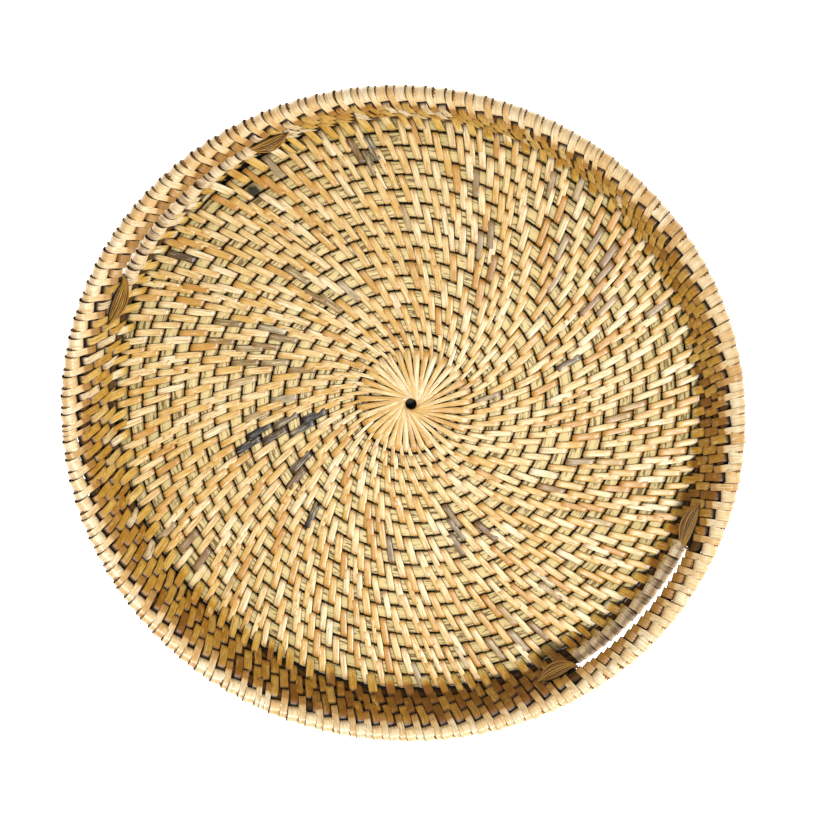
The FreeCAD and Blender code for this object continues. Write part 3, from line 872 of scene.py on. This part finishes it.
def wall_row(level, angles, radius):
    """Specs of the strips that tie a wall hoop to the one above it."""
    specs = []
    for i, angle in enumerate(angles):
        if level not in slot_edges and in_slot(angle, slot_margin):
            continue
        low = [float(v) for v in hoop_centre(level, angle)]
        high = [float(v) for v in hoop_centre(level + 1, angle)]
        heading = np.array([high[0] - low[0], high[1] - low[1]])
        heading = tuple(heading / np.linalg.norm(heading))
        circles = [(low[0] - heading[0] * half_flat, low[1] - heading[1] * half_flat, end_radius)]
        if level == 4:
            circles.append((high[0], high[1], rim_radius))
        else:
            circles.append((high[0] + heading[0] * half_flat, high[1] + heading[1] * half_flat, end_radius))
        crossing = ((low[0] + high[0]) / 2, (low[1] + high[1]) / 2)
        width = strip_width(rim_widths if level == 4 else wall_widths, room_at(angles, i, radius))
        # The rim strips' lower turns lie under the rim and are given dark tones as painted shade.
        if level == 4:
            tone = (rng.uniform(.8, 1), rng.beta(2, 4))
        else:
            tone = browner(angle, rng.beta(2, 2.6))
        if level == 1 and in_slot(angle, 0):
            tone = (tone, 0.0)
            width = slot_strip_width
        specs.append(spec(angle, crossing, heading, circles, width, tone))
    return specs


def wrap_spec(level, angle, width, tilt, tone, fat=0.0):
    """A strip wound once round a single hoop, lifted off it by fat."""
    r, z = (float(v) for v in hoop_centre(level, angle))
    wall_up = wall_directions(min(level, 4))[0]
    size, half = (rim_radius, .01) if level == 5 else (end_radius, half_flat)
    circles = [(r - half * wall_up[0], z - half * wall_up[1], size + fat),
               (r + half * wall_up[0], z + half * wall_up[1], size + fat)]
    return (angle, (r, z), wall_up, circles, tilt, width, rng.uniform(*wrap_thicknesses), (tone, tone))


build("corner_stitches", *corner_strips(), wall_peel)
angles = sorted(turn_angle(turn) % 360 for turn, spacing in corner)
edge_places = {name: [] for name in slots}
for level in (1, 2, 3, 4):
    radius = float(hoop_centre(level, 0)[0])
    angles = next_hoop_row(angles, radius)
    specs = wall_row(level, angles, radius)
    if level == 4:
        build("rim_stitches", *loops(specs, FLAT, arc_steps=9, dip=rim_dip), rim_peel)
    else:
        build(f"wall_stitches_{level}", *loops(specs, dip=wall_dip), wall_peel)
    if level not in slot_edges:
        continue
    edge, side = slot_edges[level]
    lead = side * math.degrees(coil_pitch / 2 * math.tan(strip_slant) / radius)
    for here, after in zip(angles, angles[1:] + [angles[0] + 360]):
        place = (here + after) / 2 + lead
        for name, (middle, half_width) in slots.items():
            if abs((place - middle + 180) % 360 - 180) < half_width - edge_margin:
                edge_places[name].append((edge, place, math.radians(after - here) * radius))

for name, places in edge_places.items():
    specs = [wrap_spec(edge, place, room * slot_wrap_shares[edge],
                       strip_slant + rng.normal(0, slant_spread),
                       rng.uniform(*slot_wrap_tones[edge]), slot_wrap_lifts[edge])
             for edge, place, room in places]
    build(f"slot_edge_wrap_{name}", *loops(specs, FLAT, arc_steps=8, line_steps=3), rim_peel)

rim_lead = math.degrees(coil_pitch / 2 * math.tan(strip_slant) / float(hoop_centre(5, 0)[0]))
specs = []
for here, after in zip(angles, angles[1:] + [angles[0] + 360]):
    free = math.radians(after - here) * float(hoop_centre(5, here)[0])
    specs.append(wrap_spec(5, (here + after) / 2 + rim_lead, free * rim_wrap_share,
                           strip_slant + rng.normal(0, .015), rng.beta(1.6, 4), rng.uniform(0, .05)))
build("rim_wraps", *loops(specs, FLAT, arc_steps=11, line_steps=2), rim_peel)


# ---- leaf-shaped bindings on the cut ends of the third hoop ----

def leaf(angle, outward, length):
    """Strands laid over a cut end and back, which spread in the middle and meet at the tip."""
    paths, normals, widths, heights = [], [], [], []
    values = {"tone": [], "end": []}
    wall_up, wall_out = wall_directions(3)
    hoop_radius = 186.0          # about that of the third hoop
    samples = 22                 # along each face
    for i in range(binding_strands):
        place = 2 * i / (binding_strands - 1) - 1
        t = np.linspace(0, 1, samples)
        run = np.concatenate([1 - t, t])
        face = np.concatenate([-np.ones(samples), np.ones(samples)])
        swell = np.sin(np.pi * np.clip(run, 0, 1)) ** .75
        x = -.6 + run * length * (1 - .1 * (place > 0) - .06 * place ** 2)
        lateral = place * (1.0 + 2.6 * swell) + .8
        bulge = .5 + 2.4 * (1 - place) + rng.uniform(-.3, .3)
        height = end_radius + .7 + swell * np.where(face > 0, bulge, .6)
        # round the cut end the strand turns from one face to the other
        turn = np.clip(1 - run / .12, 0, 1)
        height = height * np.sqrt(np.clip(1 - turn ** 2, 0, 1)) * face
        x = x - turn * 1.6
        here = angle - outward * np.degrees(x / hoop_radius)
        r, z = hoop_centre(3, here)
        ray = direction(here)
        square = -(ray * wall_out[0] + UP * wall_out[1])
        up = ray * wall_up[0] + UP * wall_up[1]
        paths.append(ray * r[:, None] + UP * z[:, None] + square * height[:, None] + up * lateral[:, None])
        away = across(here) * outward
        normals.append(unit(square * face[:, None] * (1 - turn)[:, None] + away * turn[:, None]))
        widths.append(.45 + .25 * swell)
        heights.append(np.full(2 * samples, .9))
        values["tone"].append(np.full(2 * samples, rng.uniform(.1, .9)))
        values["end"].append(run)
    return sweep(paths, normals, widths, heights, False, PLAIN, values)


for name, (middle, half_width) in slots.items():
    for letter, angle, outward in (("a", middle - half_width, 1), ("b", middle + half_width, -1)):
        length = binding_lengths[name + letter]
        build(f"end_binding_{name}_{letter}", *leaf(angle, outward, length), binding_peel)

# ---- floor, light and camera, in metres ----

view_turn = 40.95                # direction of the view's right, from +X


def seen(bearing, elevation=0.0):
    """Unit vector at a bearing in the view, anticlockwise from its right, and an elevation."""
    a, e = math.radians(bearing + view_turn), math.radians(elevation)
    return Vector((math.cos(a) * math.cos(e), math.sin(a) * math.cos(e), math.sin(e)))


def glowing_paper():
    """White paper that glows, except under the tray, where it doesn't glow and is painted dark as a shadow.
    """
    paper = bpy.data.materials.new("paper")
    paper.use_nodes = True
    tree = paper.node_tree
    shader = tree.nodes["Principled BSDF"]
    shader.inputs["Roughness"].default_value = .9
    shader.inputs["Emission Color"].default_value = (1, 1, 1, 1)
    far = tree.nodes.new("ShaderNodeVectorMath")
    far.operation = "LENGTH"
    tree.links.new(tree.nodes.new("ShaderNodeTexCoord").outputs["Object"], far.inputs[0])
    glow = curve(tree, far.outputs["Value"], .187, .191, 0, 2)
    # Painted shadow: the paper is near-black under the tray.
    colour = mixed(tree, curve(tree, far.outputs["Value"], .18, .19), (.03, .025, .02), (.8, .8, .8))
    tree.links.new(glow, shader.inputs["Emission Strength"])
    tree.links.new(colour, shader.inputs["Base Color"])
    return paper


def softbox(name, bearing, elevation, distance, size, power):
    """A round soft light that faces the tray."""
    data = bpy.data.lights.new(name, "AREA")
    data.shape = "DISK"
    data.size = size
    data.energy = power
    lamp = bpy.data.objects.new(name, data)
    bpy.context.scene.collection.objects.link(lamp)
    lamp.location = seen(bearing, elevation) * distance
    lamp.rotation_euler = (-lamp.location).to_track_quat("-Z", "Y").to_euler()


def make_camera(bearing, tilt, distance, aim, lens):
    """A camera that looks down on a point, tilted from straight above, with the view's up as its up."""
    data = bpy.data.cameras.new("camera")
    camera = bpy.data.objects.new("camera", data)
    bpy.context.scene.collection.objects.link(camera)
    bpy.context.scene.camera = camera
    data.sensor_width = 36
    data.lens = lens
    data.clip_start = .05
    data.clip_end = 30
    back = seen(bearing, 90 - tilt)
    right = (-back).cross(seen(90)).normalized()
    turned = Matrix((right, right.cross(-back), back)).transposed().to_4x4()
    turned.translation = aim + back * distance
    camera.matrix_world = turned


bpy.ops.mesh.primitive_plane_add(size=8, location=(0, 0, 0))
ground = bpy.context.object
ground.name = "ground"
ground.data.materials.append(glowing_paper())

world = bpy.data.worlds.new("studio")
bpy.context.scene.world = world
world.use_nodes = True
world.node_tree.nodes["Background"].inputs["Color"].default_value = (1, 1, 1, 1)
world.node_tree.nodes["Background"].inputs["Strength"].default_value = .28

softbox("key", bearing=-52, elevation=66, distance=1.6, size=.35, power=28.5)
softbox("fill", bearing=120, elevation=50, distance=2.2, size=1.5, power=9)
softbox("side", bearing=-40, elevation=18, distance=2.0, size=.8, power=9)
make_camera(bearing=65.1, tilt=13.1, distance=2.0, aim=seen(-57.0) * .0026, lens=146.35)
bpy.context.scene.view_settings.view_transform = "Standard"
